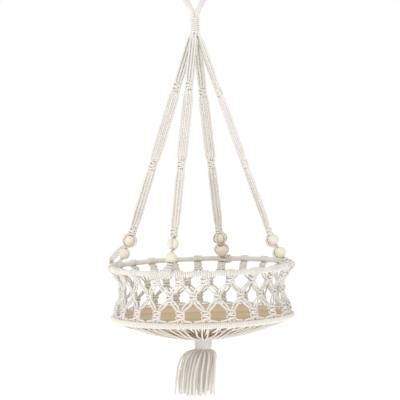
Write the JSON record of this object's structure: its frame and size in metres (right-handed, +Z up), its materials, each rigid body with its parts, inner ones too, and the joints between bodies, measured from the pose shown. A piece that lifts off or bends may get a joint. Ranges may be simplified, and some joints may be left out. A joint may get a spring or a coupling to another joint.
{
  "type": "hanging macrame planter",
  "caption": "Cotton macrame hanging basket: cord loop, knotted hangers with wooden beads, open net wall between wrapped hoops, loose wooden board floor, cord cradle and tassel.",
  "frame": {"origin": "where a hook bears, inside the top of the hanging loop", "axes": "+Z up, -Y the front, +X to the right seen from the front"},
  "size_m": [0.4038, 0.4004, 0.9105],
  "materials": {
    "cotton_cord": "twisted off-white cotton cord",
    "cotton_knot": "square knots of off-white cotton cord",
    "cotton_wrapping": "close turns of off-white cotton cord",
    "bead_wood": "turned pale wood, unvarnished",
    "board_pine": "sanded glued pine",
    "hoop_steel": "plain round rod"
  },
  "bodies": {
    "loop": {"hanging_loop": "cotton_cord"},
    "collar": {"top_wrap": "cotton_wrapping"},
    "harness": {"left_upper_cords": "cotton_cord", "left_upper_knot": "cotton_knot", "left_middle_cords": "cotton_cord", "left_middle_knot": "cotton_knot", "left_lower_cords": "cotton_cord", "left_lower_knot": "cotton_knot", "front_upper_cords": "cotton_cord", "front_upper_knot": "cotton_knot", "front_middle_cords": "cotton_cord", "front_middle_knot": "cotton_knot", "front_lower_cords": "cotton_cord", "front_lower_knot": "cotton_knot", "back_upper_cords": "cotton_cord", "back_upper_knot": "cotton_knot", "back_middle_cords": "cotton_cord", "back_middle_knot": "cotton_knot", "back_lower_cords": "cotton_cord", "back_lower_knot": "cotton_knot", "right_upper_cords": "cotton_cord", "right_upper_knot": "cotton_knot", "right_middle_cords": "cotton_cord", "right_middle_knot": "cotton_knot", "right_lower_cords": "cotton_cord", "right_lower_knot": "cotton_knot", "left_bead_cords": "cotton_cord", "front_bead_cords": "cotton_cord", "back_bead_cords": "cotton_cord", "right_bead_cords": "cotton_cord", "left_hoop_tie": "cotton_wrapping", "front_hoop_tie": "cotton_wrapping", "back_hoop_tie": "cotton_wrapping", "right_hoop_tie": "cotton_wrapping", "upper_hoop_rod": "hoop_steel", "upper_hoop_wrap": "cotton_wrapping", "net_top_knots": "cotton_knot", "net_upper_cords": "cotton_cord"},
    "net_waist": {"net_middle_knots": "cotton_knot", "net_lower_cords": "cotton_cord"},
    "base": {"net_bottom_knots": "cotton_knot", "lower_hoop_rod": "hoop_steel", "lower_hoop_wrap": "cotton_wrapping", "cradle_cords": "cotton_cord", "bottom_wrap": "cotton_wrapping"},
    "board": {"round_board": "board_pine"},
    "tassel": {"tassel": "cotton_cord"},
    "left_upper_bead": {"left_upper_bead": "bead_wood"},
    "left_lower_bead": {"left_lower_bead": "bead_wood"},
    "front_upper_bead": {"front_upper_bead": "bead_wood"},
    "front_lower_bead": {"front_lower_bead": "bead_wood"},
    "back_upper_bead": {"back_upper_bead": "bead_wood"},
    "back_lower_bead": {"back_lower_bead": "bead_wood"},
    "right_upper_bead": {"right_upper_bead": "bead_wood"},
    "right_lower_bead": {"right_lower_bead": "bead_wood"}
  },
  "joints": [
    {"name": "neck_twist", "type": "hinge", "parent": "loop", "child": "collar", "pos_m": [0, 0, -0.076], "axis": [0, 0, 1], "range_deg": [-90, 90]},
    {"name": "basket_sway", "type": "hinge", "parent": "collar", "child": "harness", "pos_m": [0, 0, -0.11], "axis": [0, 1, 0], "range_deg": [-15, 15]},
    {"name": "waist_lift", "type": "slide", "parent": "harness", "child": "net_waist", "axis": [0, 0, 1], "range_m": [0, 0.016], "deforming": ["net_upper_cords"]},
    {"name": "base_lift", "type": "slide", "parent": "net_waist", "child": "base", "axis": [0, 0, 1], "range_m": [0, 0.014], "deforming": ["net_lower_cords"]},
    {"name": "board_lift", "type": "slide", "parent": "base", "child": "board", "axis": [0, 0, 1], "range_m": [0, 0.02]},
    {"name": "tassel_swing", "type": "hinge", "parent": "base", "child": "tassel", "pos_m": [0, 0, -0.793], "axis": [0, 1, 0], "range_deg": [-25, 25]},
    {"name": "left_upper_bead_spin", "type": "hinge", "parent": "harness", "child": "left_upper_bead", "pos_m": [-0.15451, 0.01897, -0.55414], "axis": [-0.3732, 0.0458, -0.9266], "continuous": true},
    {"name": "left_lower_bead_spin", "type": "hinge", "parent": "harness", "child": "left_lower_bead", "pos_m": [-0.16633, 0.02042, -0.58276], "axis": [-0.3892, 0.0478, -0.9199], "continuous": true},
    {"name": "front_upper_bead_spin", "type": "hinge", "parent": "harness", "child": "front_upper_bead", "pos_m": [-0.05763, -0.1405, -0.55238], "axis": [-0.1258, -0.3067, -0.9435], "continuous": true},
    {"name": "front_lower_bead_spin", "type": "hinge", "parent": "harness", "child": "front_lower_bead", "pos_m": [-0.06213, -0.15149, -0.58096], "axis": [-0.165, -0.4022, -0.9006], "continuous": true},
    {"name": "back_upper_bead_spin", "type": "hinge", "parent": "harness", "child": "back_upper_bead", "pos_m": [0.04351, 0.15173, -0.56138], "axis": [0.0917, 0.3199, -0.943], "continuous": true},
    {"name": "back_lower_bead_spin", "type": "hinge", "parent": "harness", "child": "back_lower_bead", "pos_m": [0.04684, 0.16335, -0.58986], "axis": [0.1233, 0.4299, -0.8944], "continuous": true},
    {"name": "right_upper_bead_spin", "type": "hinge", "parent": "harness", "child": "right_upper_bead", "pos_m": [0.15569, -0.03026, -0.55688], "axis": [0.4051, -0.0788, -0.9109], "continuous": true},
    {"name": "right_lower_bead_spin", "type": "hinge", "parent": "harness", "child": "right_lower_bead", "pos_m": [0.17008, -0.03306, -0.58412], "axis": [0.523, -0.1017, -0.8462], "continuous": true}
  ],
  "couplings": [
    {"joint": "base_lift", "follows": "waist_lift", "ratio": 0.875}
  ]
}
